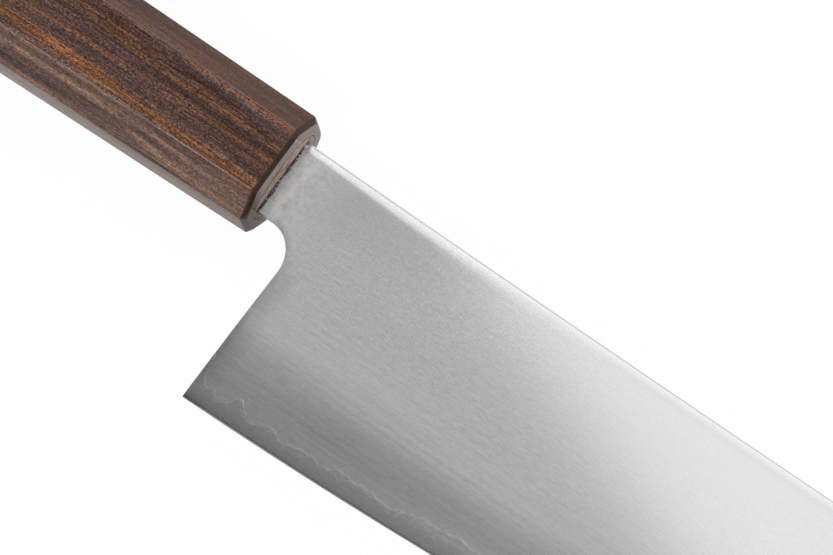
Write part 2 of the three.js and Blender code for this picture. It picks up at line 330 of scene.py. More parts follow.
def coreHalf(x, turn, drawn):
    turned = [(length, swing, turn * (i + 1)) for i, (length, swing) in enumerate(bondWaves)]
    waved = bond["coreHalf"] - bond["coreTaper"] * x + waving(x, turned)
    if not drawn:
        return waved + bond["heelSwell"] * np.exp(-abs(x - blade["heelReach"]) / bond["heelSwellLength"])
    places, heights = np.array(wander).T
    steps = np.linspace(-bond["blur"], bond["blur"], bond["blurSteps"])
    height = np.mean([np.interp(x + step, places, heights) for step in steps], axis=0)
    height = height + waving(x, bondRags)
    line = halfThickness(np.maximum(x, blade["heelReach"] + bond["offHeel"]), edgeLine(x) + height)
    line = waved + (line - waved) * smoothStep(0, blade["heelReach"], x)
    return line + (waved - line) * smoothStep(places[-1] - bond["fadeOut"], places[-1], x)


def claddingHalf(x, turn, drawn):
    return coreHalf(x, turn, drawn) + (bond["gap"] + bond["opening"] * np.clip(waving(x, bondPulse), 0, 1))


sectionSteps = 1201  # places looked at on each section, closest together at the edge and the spine


def crossings(x, level):  # lowest and highest place on each section where the blade is as thick as the level
    edge, top = edgeLine(x), topLine(x)
    share = np.linspace(0, 1, sectionSteps)[:, None]
    rise = edge + (top - edge) * (1 - np.cos(np.pi * share)) / 2
    thick = halfThickness(x, rise) - level > 0
    first = np.argmax(thick, axis=0)
    last = sectionSteps - 1 - np.argmax(thick[::-1], axis=0)
    below, above = np.maximum(first - 1, 0), np.minimum(last + 1, sectionSteps - 1)
    column = np.arange(x.size)
    bounds = []
    for inside, outside in ((first, below), (last, above)):
        a, b = rise[outside, column], rise[inside, column]
        for _ in range(halvings):
            half = (a + b) / 2
            more = halfThickness(x, half) > level
            a, b = np.where(more, a, half), np.where(more, half, b)
        bounds.append(b)
    return bounds[0], bounds[1], thick.any(axis=0)


# Columns of the blade's skins: from, to and spacing, and closer together again at the tip
columnRuns = [(-blade["neckInset"], -1, 0.5), (-1, 12, 0.16), (12, 68, 0.35)]
farSpacing, tipStretch, tipColumns = 0.7, 8, 40
# Rows of the claddings: height over their lower end, depth under their upper end, and how many between
lowRows = np.array([
    0, 0.06, 0.15, 0.3, 0.5, 0.8, 1.2, 1.7, 2.3, 3, 3.8, 4.7, 5.7, 6.8, 8, 9.3, 10.7, 12.2, 13.8,
])
highRows = np.array([
    0, 0.012, 0.03, 0.06, 0.1, 0.16, 0.24, 0.34, 0.46, 0.62, 0.82, 1.05, 1.35, 1.7, 2.2, 2.9,
])
midRows, midRoom = 84, 4
# Rows of the core, from the edge to the claddings and from there to the spine
coreRows = {"edge": 17, "edgeSpread": 1.3, "spine": 7, "bevelShare": 0.4, "peakShare": 0.6}


def columnsTo(reach):
    runs = [*columnRuns, (columnRuns[-1][1], reach - tipStretch, farSpacing)]
    columns = [np.arange(*run) for run in runs]
    return np.concatenate([*columns, np.linspace(reach - tipStretch, reach, tipColumns)])


def claddingRows(low, high):
    fit = np.minimum(1, (high - low) / (lowRows[-1] + highRows[-1] + midRoom))
    lower = low + lowRows[:, None] * fit
    upper = high - highRows[::-1, None] * fit
    share = np.linspace(0, 1, midRows + 2)[1:-1, None]
    return np.concatenate([lower, lower[-1] + (upper[0] - lower[-1]) * share, upper])


def claddingEnd(turn, drawn):  # where the angled tip gets too thin for any cladding
    near, far = slopeStart, blade["tipReach"]
    for _ in range(halvings):
        half = np.array([(near + far) / 2])
        found = crossings(half, claddingHalf(half, turn, drawn))[2][0]
        near, far = (half[0], far) if found else (near, half[0])
    return near


def makeCladding(name, side, turn, drawn):
    x = columnsTo(claddingEnd(turn, drawn) - blade["claddingStop"])
    inner = claddingHalf(x, turn, drawn)
    low, high, _ = crossings(x, inner)
    y = claddingRows(low, high)
    z = halfThickness(x, y)
    z[0], z[-1] = inner, inner
    outer = shapeGrid(name, np.stack([np.broadcast_to(x, y.shape), y, side * z], axis=-1))
    ends = np.stack([np.stack([x, y, side * inner], axis=-1) for y in (low, high)])
    return joinSkins([outer, shapeGrid(name + "Bond", ends)])


def makeCore(name):
    x = columnsTo(blade["tipReach"])
    edge, top = edgeLine(x), topLine(x)
    peak = edge + (top - edge) * coreRows["peakShare"]  # where the rows part past the claddings' ends
    toBond = np.linspace(0, 1, coreRows["edge"])[:, None] ** coreRows["edgeSpread"]
    toSpine = 1 - (1 - np.linspace(0, 1, coreRows["spine"])[:, None]) ** 2
    skins = []
    for side, turn, drawn in (rightSide, leftSide):
        half = coreHalf(x, turn, drawn)
        low, high, found = crossings(x, half)
        low, high = np.where(found, low, peak), np.where(found, high, peak)
        bevel = np.minimum(blade["microBevelHeight"], (low - edge) * coreRows["bevelShare"])
        lower = edge + bevel + (low - edge - bevel) * toBond
        y = np.concatenate([np.stack([edge, edge + bevel / 2]), lower, high + (top - high) * toSpine])
        z = np.minimum(halfThickness(x, y), half)
        z[0], z[-1] = 0, 0
        skins.append(shapeGrid(name, np.stack([np.broadcast_to(x, y.shape), y, side * z], axis=-1)))
    return joinSkins(skins)


choilCut = {"bottom": -60.0, "back": -14.0, "half": 5.0, "segments": 40}


def makeChoilTool():  # what is cut away under the neck and behind the heel
    def backOfHeel(y):
        return blade["heelReach"] + math.tan(lean) * (y + blade["heelDrop"])

    low, high, half = choilCut["bottom"], -blade["neckDrop"], choilCut["half"]
    tool = block("choilTool", (choilCut["back"], low, -half), (backOfHeel(high), high, half))
    pick(tool, "VERT", lambda p: p[0, 0] > 0 and p[0, 1] < high - 1)
    bpy.ops.transform.translate(value=((backOfHeel(low) - backOfHeel(high)) * mm, 0, 0))
    pick(tool, "EDGE", lambda p: (p[:, 0] > 0).all() and (p[:, 1] > high - 1).all())
    reach = blade["choilRadius"] / math.tan((math.pi / 2 - lean) / 2)
    bpy.ops.mesh.bevel(offset=reach * mm, segments=choilCut["segments"], profile=0.5)
    bpy.ops.object.mode_set(mode="OBJECT")
    return tool


def addTang(piece):  # drawn out of the neck's end, past a small shoulder
    high, low, neckEnd = blade["tangHigh"], blade["tangLow"], -blade["neckInset"]
    middle = place((neckEnd, (high + low) / 2, 0))
    shoulder = (high - low) / (spineLine(neckEnd) + blade["neckDrop"])
    pick(piece, "FACE", lambda p: (p[:, 0] < neckEnd + nearby).all())
    bpy.ops.mesh.extrude_region_move()
    bpy.ops.transform.resize(value=(1, shoulder, blade["tangThinning"]), center_override=middle)
    bpy.ops.mesh.extrude_region_move(
        TRANSFORM_OT_translate={"value": ((blade["tangEnd"] - neckEnd) * mm, 0, 0)}
    )
    bpy.ops.transform.resize(value=(1, 2 * blade["tangEndHalf"] / (high - low), 1), center_override=middle)
    bpy.ops.object.mode_set(mode="OBJECT")


choilTool = makeChoilTool()
bladeCore = makeCore("bladeCore")
claddingRight = makeCladding("claddingRight", *rightSide)
claddingLeft = makeCladding("claddingLeft", *leftSide)
bladeLayers = [(bladeCore, rightSide), (claddingRight, rightSide), (claddingLeft, leftSide)]
for layer, _ in bladeLayers:
    closeSkin(layer)
    carve(layer, choilTool, "DIFFERENCE", "FAST")
    addTang(layer)
bpy.data.objects.remove(choilTool)
print("blade layers ground, choil cut")


# Handle: tapered octagon with slightly crowned facets and crisp arrises that open towards its ends

handle = {
    "length": 132.0,
    "front": (22.0, 17.2, 4.65), "butt": (25.4, 19.8, 5.35),  # height, width, chamfer
    "frontChamfer": 0.8, "frontEase": 0.25, "buttRound": 1.6, "arrisRound": 0.3, "endSoftness": 2.6,
    "crownRadius": 130.0, "crownRoom": 0.2,
    "crownSteps": 8, "arrisSteps": 4, "easeSteps": 5, "roundSteps": 8, "ovalSteps": 96,
    "oval": (8.6, 5.3), "ovalDepth": 24.0, "ovalGap": 0.09,
    "slot": (7.8, 1.7), "slotDepth": 98.0, "overrun": 5.0,  # tools stand out of the front face by that
    "smoothAngle": 20,
}


def octagon(x):  # height, width and chamfer of the section there
    share = -x / handle["length"]
    return [a + (b - a) * share for a, b in zip(handle["front"], handle["butt"])]


def handleRing(x, inset):
    height, width, chamfer = octagon(x)
    radius = handle["arrisRound"] + handle["endSoftness"] * inset
    drawn = inset + radius + handle["crownRoom"]
    y, z, cut = height / 2 - drawn, width / 2 - drawn, chamfer - (2 - math.sqrt(2)) * drawn
    half = [(y, cut - z), (y, z - cut), (y - cut, z), (cut - y, z)]
    corners = half + [(-a, -b) for a, b in half]
    ring = []
    for k, (a, b) in enumerate(corners):
        for i in range(handle["arrisSteps"] + 1):
            turn = math.pi / 4 * (k - 1 + i / handle["arrisSteps"])
            ring.append((x, a + radius * math.cos(turn), b + radius * math.sin(turn)))
        out = np.array((math.cos(turn), math.sin(turn)))
        start = np.array((a, b)) + radius * out
        run = np.array(corners[(k + 1) % len(corners)]) - (a, b)
        crown = run @ run / (8 * handle["crownRadius"])
        for i in range(1, handle["crownSteps"]):  # over the facet to the next arris
            share = i / handle["crownSteps"]
            ring.append((x, *(start + run * share + out * crown * 4 * share * (1 - share))))
    return ring + ring[:1]


def easedCorner(*spots):
    before, corner, after = np.array(spots)
    share = np.linspace(0, 1, handle["easeSteps"])[:, None]
    return (1 - share) ** 2 * before + 2 * share * (1 - share) * corner + share**2 * after


# each pair is a place along the handle and how far the outline is drawn in there
flat, ease, butt = handle["frontChamfer"], handle["frontEase"], handle["buttRound"]
slant = ease / math.sqrt(2)
frontProfile = [
    *easedCorner((-flat - ease, 0), (-flat, 0), (slant - flat, slant)),
    *easedCorner((-slant, flat - slant), (0, flat), (0, flat + ease)),
]
buttProfile = [
    (butt * (1 - math.sin(turn)) - handle["length"], butt * (1 - math.cos(turn)))
    for turn in np.linspace(math.pi / 2, 0, handle["roundSteps"] + 1)
]
handleWood = shapeGrid("handleWood", np.array([handleRing(*spot) for spot in buttProfile + frontProfile]))
closeSkin(handleWood)

clearSelection()
bpy.ops.mesh.primitive_cylinder_add(vertices=handle["ovalSteps"], radius=1, depth=1)
ovalTool = bpy.context.active_object
ovalSize = [handle["ovalDepth"] + handle["overrun"], *(half + handle["ovalGap"] for half in handle["oval"])]
ovalTurn = Matrix.Rotation(math.pi / 2, 4, "Y")
ovalStretch = Matrix.Diagonal((*[s * mm for s in ovalSize], 1))
ovalMiddle = Vector(place(((handle["overrun"] - handle["ovalDepth"]) / 2, 0, 0)))
ovalTool.data.transform(Matrix.Translation(ovalMiddle) @ ovalStretch @ ovalTurn)
slotHigh, slotWide = handle["slot"]
slotTool = block(
    "slotTool", (-handle["slotDepth"], -slotHigh, -slotWide), (handle["overrun"], slotHigh, slotWide)
)
for tool in (ovalTool, slotTool):
    carve(handleWood, tool, "DIFFERENCE", "EXACT")
    bpy.data.objects.remove(tool)
print("handle shaped, mouth cut")


# Resin: a bed around the tang and a ragged bead where it wells up around the neck

resin = {
    "clearance": 0.05, "bedTop": 0.06,
    "roomEnd": -95.0, "roomFront": 8.0, "roomTop": 7.28, "roomHalf": 1.1,  # left free for the tang
    "outlineAt": 0.4, "outlineSteps": 600, "outlineSpan": 3,  # the bead follows the neck there
    "around": 460, "across": 12, "lift": 0.012, "rootDepth": 0.4,
    # out over the front face and up the flank: size, then its mean, load, roughness and limits as shares
    "width": (0.4, 0.6, 0.75, 0.4, 0.3, 2.4), "rise": (0.34, 0.7, 0.5, 0.5, 0.25, 2.2),
    "loadAt": -3.5, "loadSpan": 2.8, "lightFrom": (1.5, 5.5), "lightness": 0.4,  # heavier low on the neck
    "waves": [(3, 0.3), (5, 0.3), (9, 0.28), (14, 0.22), (20, 0.16), (29, 0.11), (41, 0.08), (58, 0.05)],
    "seed": 7, "lump": 0.25, "footPower": 0.9, "crestPower": 0.8,
    # the pale colour is for painted glints
    "tones": (0.35, 0.7), "darks": ("#141211", "#2c2826"), "paintedGlints": "#d6d5d3",
    "roughness": 0.14, "bump": 0.6, "bumpDepth": 0.12,
    "smoothAngle": 40,
}


def neckOutline():  # around the neck just in front of the handle
    at, span = resin["outlineAt"], resin["outlineSpan"]
    down = (1 - np.cos(np.linspace(0, np.pi, resin["outlineSteps"]))) / 2
    y = spineLine(at) - down * (spineLine(at) + blade["neckDrop"])
    z = halfThickness(np.full_like(y, at), y)
    right = np.stack([y, z], axis=-1)
    loop = np.concatenate([right, [[-blade["neckDrop"], 0]], (right * (1, -1))[::-1]])
    run = np.concatenate([[0], np.cumsum(np.hypot(*np.diff(loop, axis=0).T))])
    spots = np.linspace(0, run[-1], resin["around"], endpoint=False)
    path = np.stack([np.interp(spots, run, loop[:, i]) for i in (0, 1)], axis=-1)
    along = np.roll(path, -span, axis=0) - np.roll(path, span, axis=0)
    along /= np.linalg.norm(along, axis=1)[:, None]
    out = np.stack([-along[:, 1], along[:, 0]], axis=-1)
    out *= np.sign((out * path).sum(axis=1))[:, None]
    return path, out, spots


def makeBead():
    path, out, run = neckOutline()
    counts, swings = np.array(resin["waves"]).T
    phases = np.random.default_rng(resin["seed"]).uniform(0, 2 * np.pi, (3, len(counts)))
    lengths = run[-1] / counts
    rough = [(swings * np.sin(2 * np.pi * run[:, None] / lengths + p)).sum(axis=1) for p in phases]
    load = np.exp(-(((path[:, 0] - resin["loadAt"]) / resin["loadSpan"]) ** 2))
    load = load - resin["lightness"] * smoothStep(*resin["lightFrom"], path[:, 0])
    width, rise = (
        size * np.clip(mean + loaded * load + uneven * wave, least, most)
        for (size, mean, loaded, uneven, least, most), wave in zip((resin["width"], resin["rise"]), rough)
    )
    lift = resin["lift"]
    foot = path + out * lift
    rings = [np.column_stack([np.full(len(run), -resin["rootDepth"]), foot])]
    for turn in np.linspace(0, np.pi / 2, resin["across"]):  # over it, from flank to front face
        lump = 1 + resin["lump"] * rough[2] * np.sin(2 * turn)
        step = lift + width * np.sin(turn) ** resin["footPower"]
        crest = lift + rise * np.cos(turn) ** resin["crestPower"] * lump
        rings.append(np.column_stack([crest, path + out * step[:, None]]))
    rings.append(np.column_stack([np.full(len(run), lift), foot]))
    points = np.array(rings + rings[:1])
    return shapeGrid("bead", np.concatenate([points, points[:, :1]], axis=1))


bead = makeBead()
closeSkin(bead)
gap = resin["clearance"]
resinBed = block(
    "resinBed",
    (gap - handle["slotDepth"], gap - slotHigh, gap - slotWide),
    (resin["bedTop"], slotHigh - gap, slotWide - gap),
)
tangRoom = block(
    "tangRoom",
    (resin["roomEnd"], -blade["neckDrop"] - gap, -resin["roomHalf"]),
    (resin["roomFront"], resin["roomTop"], resin["roomHalf"]),
)
carve(resinBed, tangRoom, "DIFFERENCE", "EXACT")
carve(resinBed, bead, "UNION", "EXACT")
for tool in (tangRoom, bead):
    bpy.data.objects.remove(tool)
print("resin bed poured")


# Materials

toMillimetres = {"Location": tuple(-mouth / mm), "Scale": (1 / mm,) * 3}  # from Object coordinates
smooth = {"interpolation_type": "SMOOTHSTEP"}
colors = {"data_type": "RGBA", "out": 2}
tinting = {**colors, "blend_type": "MULTIPLY"}
black, white = (0, 0, 0, 1), (1, 1, 1, 1)


def ramp(places, codes):  # stops of a colour ramp
    return list(zip(places, map(hexColor, codes)))


def measureBlade(piece, turn, drawn):
    x, y, _ = cornersOf(piece).T
    stations = columnsTo(blade["tipReach"])
    low = crossings(stations, coreHalf(stations, turn, drawn))[0]
    measure(piece, "heightOverEdge", y - edgeLine(x))
    measure(piece, "heightOverBond", y - np.interp(x, stations, low))
    measure(piece, "fromChoil", choilGap(x, y))


# Patterns on the steel: how its space is stretched, and the noise in it, both per metre
steelPatterns = {
    # brush lines 0.2 mm wide and 1.3 mm long, coarser than the real grit so that they show
    "lines": ({"Scale": (760, 5000, 900)}, {"Detail": 1}),
    # sandy grain of 0.22 mm, drawn coarser for the same reason
    "grain": ({}, {"Scale": 4500, "Detail": 1}),
    # long lines left by the grinding belt, 0.2 to 0.7 mm wide
    "belt": ({"Scale": (32, 1500, 300)}, {"Detail": 3, "Roughness": 0.65}),
    # on the line between the layers: its raggedness, how it fades in and out, and how its wisps stray
    "ragged": ({}, {"Scale": 2200, "Detail": 3, "Roughness": 0.7}),
    "fading": ({}, {"Scale": 600, "Detail": 4, "Roughness": 0.65}),
    "stray": ({}, {"Scale": 520, "Detail": 3, "Roughness": 0.6}),
    # a few long scratches 0.15 mm wide, a little aslant
    "scratch": ({"Scale": (70, 3600, 100), "Rotation": (0, 0, math.radians(7))}, {"Detail": 1}),
    # clouds of 3 mm left by polishing the neck by hand, and spots of a millimetre left by rubbing it
    "cloud": ({}, {"Scale": 330, "Detail": 2}),
    "mottle": ({}, {"Scale": 900, "Detail": 4, "Roughness": 0.7}),
}
steel = {
    "cladding": ("#d0d0d1", "#efefef"), "core": ("#c6c6c7", "#e7e7e7"), "tones": (0.3, 0.7),
    # the choil wall's colour is painted shade
    "haze": "#f6f6f6", "choilWallShade": "#9a9a9b", "nearResinTint": (0.78, 0.85, 0.89, 1),  # the last one multiplies
    "roughness": 0.17, "dullRoughness": 0.4, "bump": 0.15, "bumpDepth": 0.01,
    "spineward": 1.2, "hazeWander": -14.0, "dullWander": -5.0,
}


def makeSteel(name, shades):
    # Stainless steel, ground and brushed along the blade: soft reflections, fine lines and a sandy grain.
    material, add = newMaterial(name)
    spot = add("TexCoord", out="Object")
    inMm = add("Mapping", {"Vector": spot, **toMillimetres})
    along, height, _ = add("SeparateXYZ", (inMm,), slice(3))
    overEdge, overBond, fromChoil = (
        add("Attribute", out="Fac", attribute_name=measured)
        for measured in ("heightOverEdge", "heightOverBond", "fromChoil")
    )
    noise = {}
    for pattern, (stretch, settings) in steelPatterns.items():
        space = add("Mapping", {"Vector": spot, **stretch}) if stretch else spot
        noise[pattern] = add("TexNoise", {"Vector": space, "Scale": 1.0, **settings}, "Fac")
    # brush lines take over from the grain and belt lines come up low on the blade
    lineShare = add("MapRange", (overEdge, 38, 20, 0.3, 0.55), **smooth)
    brushed = add("Mix", {0: lineShare, 2: noise["grain"], 3: noise["lines"]})
    beltShare = add("MapRange", (overEdge, 28, 14, 0.1, 0.38), **smooth)
    toned = add("Mix", {0: beltShare, 2: brushed, 3: noise["belt"]})
    # the satin gets finer towards the tip and the spine
    calmward = add("Math", (height, steel["spineward"], along), operation="MULTIPLY_ADD")
    calm = add("MapRange", (calmward, 34, 72, 0, 0.7))
    satin = add("Mix", {0: calm, 2: toned, 3: 0.5})
    shade = add("ValToRGB", {"Fac": satin}, stops=ramp(steel["tones"], shades))
    # thin pale line where core and cladding meet, ragged by up to 0.3 mm and fading in and out
    rags = add("MapRange", (noise["ragged"], 0.3, 0.7, -0.32, 0.32))
    nearBond = add("Math", (overBond, rags), operation="ADD")
    fromBond = add("Math", (nearBond,), operation="ABSOLUTE")
    strength = add("MapRange", (noise["fading"], 0.51, 0.64, 0, 0.75))
    bondLine = add("MapRange", (fromBond, 0.22, 0.02, 0, strength), **smooth)
    # fainter wisps that stray up to 1.5 mm from it
    astray = add("MapRange", (noise["stray"], 0.3, 0.7, -1.5, 1.7))
    nearWisp = add("Math", (nearBond, astray), operation="ADD")
    fromWisp = add("Math", (nearWisp,), operation="ABSOLUTE")
    wisps = add("MapRange", (fromWisp, 0.4, 0.05, 0, 0.25), **smooth)
    # scratches thin out towards the tip
    scratched = add("MapRange", (along, 60, 25, 0, 0.3))
    scratches = add("MapRange", (noise["scratch"], 0.65, 0.74, 0, scratched))
    paleLines = add("Math", (bondLine, wisps), operation="MAXIMUM")
    pale = add("Math", (paleLines, scratches), operation="MAXIMUM")
    # a soft cloudy patch at the neck, which was polished by hand
    polished = add("Math", (noise["cloud"], steel["hazeWander"], along), operation="MULTIPLY_ADD")
    haze = add("MapRange", (polished, 4, -6, 0, 0.5), **smooth)
    hazed = add("Mix", {0: haze, 6: shade, 7: hexColor(steel["haze"])}, **colors)
    shaded = add("Mix", {0: pale, 6: hazed, 7: white}, **colors)
    # painted shade, darker at the back of the heel, under the spine and where the grind begins:
    # how much, then where each fades in, in millimetres
    paintedShadePlaces = [
        (0.24, (overEdge, 2, 7), (height, -11, -16), (fromChoil, 4.5, 0.3)),
        (0.15, (height, -6, 3), (height, 5.4, 4.4), (along, 46, 28), (along, 5, 13)),
        (0.14, (overEdge, 13.5, 9.5), (overEdge, 4.5, 7), (along, 18, 34)),
    ]
    for share, *limits in paintedShadePlaces:
        for value, start, full in limits:
            share = add("MapRange", (value, start, full, 0, share))
        shaded = add("Mix", {0: share, 6: shaded, 7: black}, **colors)
    # mottled around the neck, and darker and cooler next to the resin but not on the rounded spine
    rubbedAndHighlit = add("MapRange", (along, 10, 3, 0, 0.2))
    spots = add("MapRange", (noise["mottle"], 0.55, 0.36, 0, rubbedAndHighlit))
    mottled = add("Mix", {0: spots, 6: shaded, 7: black}, **colors)
    underSpine = add("MapRange", (height, 6, 4.4), **smooth)
    nearResinTint = add("MapRange", (along, 2.3, 0.3, 0, underSpine), **smooth)
    nearResinTinted = add("Mix", {0: nearResinTint, 6: mottled, 7: steel["nearResinTint"]}, **tinting)
    # the choil's wall is left as it was cut and dull, and its colour is darkened as painted shade
    wall = add("MapRange", (fromChoil, 0.06, 0))
    cut = add("Mix", {0: wall, 6: nearResinTinted, 7: hexColor(steel["choilWallShade"])}, **colors)
    # and next to the handle no polish reached, except on the spine
    unpolished = add("Math", (noise["cloud"], steel["dullWander"], along), operation="MULTIPLY_ADD")
    dull = add("MapRange", (unpolished, 2.5, -0.5, 0, underSpine), **smooth)
    rough = add("Math", (wall, dull), operation="MAXIMUM")
    gloss = add("MapRange", (rough, 0, 1, steel["roughness"], steel["dullRoughness"]))
    bump = add("Bump", {"Height": brushed, "Strength": steel["bump"], "Distance": steel["bumpDepth"] * mm})
    surface = {"Base Color": cut, "Metallic": 1.0, "Roughness": gloss, "Normal": bump}
    add("OutputMaterial", {"Surface": add("BsdfPrincipled", surface)})
    return material


for layer, (_, turn, drawn) in bladeLayers:
    measureBlade(layer, turn, drawn)
satinCladding = makeSteel("satinStainlessCladding", steel["cladding"])
groundCore = makeSteel("groundCoreSteel", steel["core"])
finishPiece(bladeCore, "core_steel", groundCore, blade["smoothAngle"], "core_steel")
finishPiece(claddingRight, "cladding_steel", satinCladding, blade["smoothAngle"], "cladding_right")
finishPiece(claddingLeft, "cladding_steel", satinCladding, blade["smoothAngle"], "cladding_left")


def measureHandle(piece):  # distance from the nearest arris
    x, y, z = cornersOf(piece).T
    height, width, chamfer = octagon(x)
    high = np.hypot(abs(y) - height / 2, abs(z) - width / 2 + chamfer)
    low = np.hypot(abs(y) - height / 2 + chamfer, abs(z) - width / 2)
    measure(piece, "fromArris", np.minimum(high, low))


# Growth layers across the handle: place in millimetres and how much lighter or darker
woodLayers = [
    (-14.0, -0.02), (-11.6, -0.02), (-11.3, 0.07), (-11.0, -0.02), (-10.75, -0.02), (-10.5, 0.07),
    (-10.2, -0.02), (-9.75, 0.0), (-9.4, 0.1), (-9.15, 0.09), (-9.0, 0.03), (-8.8, 0.09), (-8.45, 0.1),
    (-8.25, 0.02), (-7.9, 0.08), (-7.4, 0.04), (-6.7, 0.0), (-3.3, -0.01), (-2.7, -0.06), (-2.1, -0.01),
    (-0.7, 0.0), (-0.3, -0.06), (0.6, -0.06), (1.0, 0.03), (2.1, 0.05), (2.7, 0.03), (3.2, -0.03),
    (10.0, -0.03),
]
wood = {
    "tones": (0.30, 0.42, 0.52, 0.60, 0.70),
    "heartwood": ("#2b2020", "#46332d", "#5a4238", "#724e3a", "#8f5c34"),
    "outerWood": ("#3a2e2e", "#56443e", "#69534b", "#836657", "#a08170"),
    # the arris colour is a painted highlight, the end grain colour partly painted shade, and the end face
    # colours painted reflection and light
    "pores": "#211713", "arrises": "#9c7c70", "endGrainShade": "#2e1b14", "endFaceReflection": ("#43352f", "#8d807c"),
    # these three multiply the colours
    "streakTints": ((0.94, 0.93, 1.06, 1), (1.08, 0.98, 0.82, 1)), "spineTint": (0.9, 0.74, 0.6, 1),
    "fibreShades": ((0.2, 0.2, 0.2, 1), (0.92, 0.92, 0.92, 1), (2.25, 2.25, 2.3, 1)),
    "layerTilt": (0.02, 0.9, -0.42), "drift": 1.2, "streakShare": 0.64, "threadShare": 0.35,
    "roughness": 0.6, "lacquer": 0.55, "lacquerRoughness": 0.05,
}


def makeHandleWood():
    # Dark tropical hardwood, planed to facets and lacquered: long streaks, open pores, a clear gloss on top.
    material, add = newMaterial("lacqueredDarkHardwood")
    spot = add("TexCoord", out="Object")
    inMm = add("Mapping", {"Vector": spot, **toMillimetres})
    height = add("SeparateXYZ", (inMm,), 1)
    # the grain drifts sideways by a millimetre over the handle's length
    drift = wood["drift"]
    driftSpace = add("Mapping", {"Vector": inMm, "Scale": (1 / 50, 1 / 16, 1 / 16)})
    drifts = add("TexNoise", {"Vector": driftSpace, "Scale": 1.0, "Detail": 1}, "Color")
    shift = add(
        "VectorMath", (drifts, (0, 2 * drift, 2 * drift), (0, -drift, -drift)), operation="MULTIPLY_ADD"
    )
    bent = add("VectorMath", (inMm, shift), operation="ADD")
    # size along, across and through the handle in millimetres, then detail and roughness
    patterns = {
        "streaks": (bent, (60, 1.3, 1.6), 4.0, 0.7),  # of growth, 0.2 to 1.3 mm wide
        "hue": (bent, (45, 2.2, 2.2), 2.0, 0.5),  # streaks of another colour, 2 mm wide
        "fibres": (bent, (0.45, 0.22, 0.22), 2.0, 0.6),  # pebbly
        "threads": (bent, (9, 0.24, 0.24), 2.0, 0.6),  # finer lines
        "pores": (inMm, (1.2, 0.17, 0.17), 1.0, 0.5),  # open, 0.12 mm wide
    }
    noise = {}
    for pattern, (grid, sizes, detail, roughness) in patterns.items():
        space = add("Mapping", {"Vector": grid, "Scale": tuple(1 / size for size in sizes)})
        settings = {"Vector": space, "Scale": 1.0, "Detail": detail, "Roughness": roughness}
        noise[pattern] = add("TexNoise", settings, "Fac")
    # wide layers across the handle: a warm one low on the right-hand side, thin dark ones above it
    first, last = woodLayers[0][0], woodLayers[-1][0]
    across = add("VectorMath", (bent, wood["layerTilt"]), 1, operation="DOT_PRODUCT")
    layerPlace = add("MapRange", (across, first, last))
    layers = add(
        "ValToRGB", {"Fac": layerPlace},
        stops=[((at - first) / (last - first), (0.5 + tone,) * 3 + (1,)) for at, tone in woodLayers],
    )
    calmer = add(
        "Math", (noise["streaks"], wood["streakShare"], -wood["streakShare"] / 2), operation="MULTIPLY_ADD"
    )
    tone = add("Math", (calmer, layers), operation="ADD")
    heartwood, outerWood = (
        add("ValToRGB", {"Fac": tone}, stops=ramp(wood["tones"], wood[part]))
        for part in ("heartwood", "outerWood")
    )
    # the heartwood has streaks that lean to purple or to gold, and is redder on the spine side
    streakTint = add("ValToRGB", {"Fac": noise["hue"]}, stops=list(zip((0.38, 0.62), wood["streakTints"])))
    spineSide = add("MapRange", (across, 1.9, 2.9), **smooth)
    tint = add("Mix", {0: spineSide, 6: streakTint, 7: wood["spineTint"]}, **colors)
    tintedHeart = add("Mix", {0: 1.0, 6: heartwood, 7: tint}, **tinting)
    # greyer outer wood lies on the edge side
    edgeSide = add("MapRange", (across, -9.2, -10), **smooth)
    grown = add("Mix", {0: edgeSide, 6: tintedHeart, 7: outerWood}, **colors)
    # fibres over threads, light and dark, cut open on the sides and smoother on the chamfers
    woven = add("Mix", {0: wood["threadShare"], 2: noise["fibres"], 3: noise["threads"]})
    fibreShade = add("ValToRGB", {"Fac": woven}, stops=list(zip((0.37, 0.5, 0.63), wood["fibreShades"])))
    facing = add("TexCoord", out="Normal")
    lengthways, _, sideways = add("SeparateXYZ", (facing,), slice(3))
    onSide = add("Math", (sideways,), operation="ABSOLUTE")
    opened = add("MapRange", (onSide, 0.75, 0.95, 0.55))
    shaded = add("Mix", {0: opened, 6: grown, 7: fibreShade}, **tinting)
    pores = add("MapRange", (noise["pores"], 0.58, 0.68, 0, 0.7))
    porous = add("Mix", {0: pores, 6: shaded, 7: hexColor(wood["pores"])}, **colors)
    # arrises are painted paler, a painted highlight along them
    fromArris = add("Attribute", out="Fac", attribute_name="fromArris")
    arrisHighlight = add("MapRange", (fromArris, 0.34, 0.23, 0, 0.42))
    rubbedAndHighlit = add("Mix", {0: arrisHighlight, 6: porous, 7: hexColor(wood["arrises"])}, **colors)
    # end grain on the chamfers is dark, partly its own colour and partly painted shade, and the end faces
    # are painted grey and lighter towards the spine as painted reflection and light
    onEnd = add("Math", (lengthways,), operation="ABSOLUTE")
    endGrainShade = add("MapRange", (onEnd, 0.1, 0.6, 0, 0.85), **smooth)
    darkened = add("Mix", {0: endGrainShade, 6: rubbedAndHighlit, 7: hexColor(wood["endGrainShade"])}, **colors)
    endFaceReflection = add("MapRange", (onEnd, 0.86, 0.97, 0, 0.8), **smooth)
    shadedEnd, litEnd = map(hexColor, wood["endFaceReflection"])
    endFaceLightShare = add("MapRange", (height, -8, -4), **smooth)
    paintedEndFace = add("Mix", {0: endFaceLightShare, 6: shadedEnd, 7: litEnd}, **colors)
    finished = add("Mix", {0: endFaceReflection, 6: darkened, 7: paintedEndFace}, **colors)
    surface = {
        "Base Color": finished, "Roughness": wood["roughness"], "Specular IOR Level": 0.0,
        "Coat Weight": wood["lacquer"], "Coat Roughness": wood["lacquerRoughness"], "Coat IOR": 1.5,
    }
    add("OutputMaterial", {"Surface": add("BsdfPrincipled", surface)})
    return material


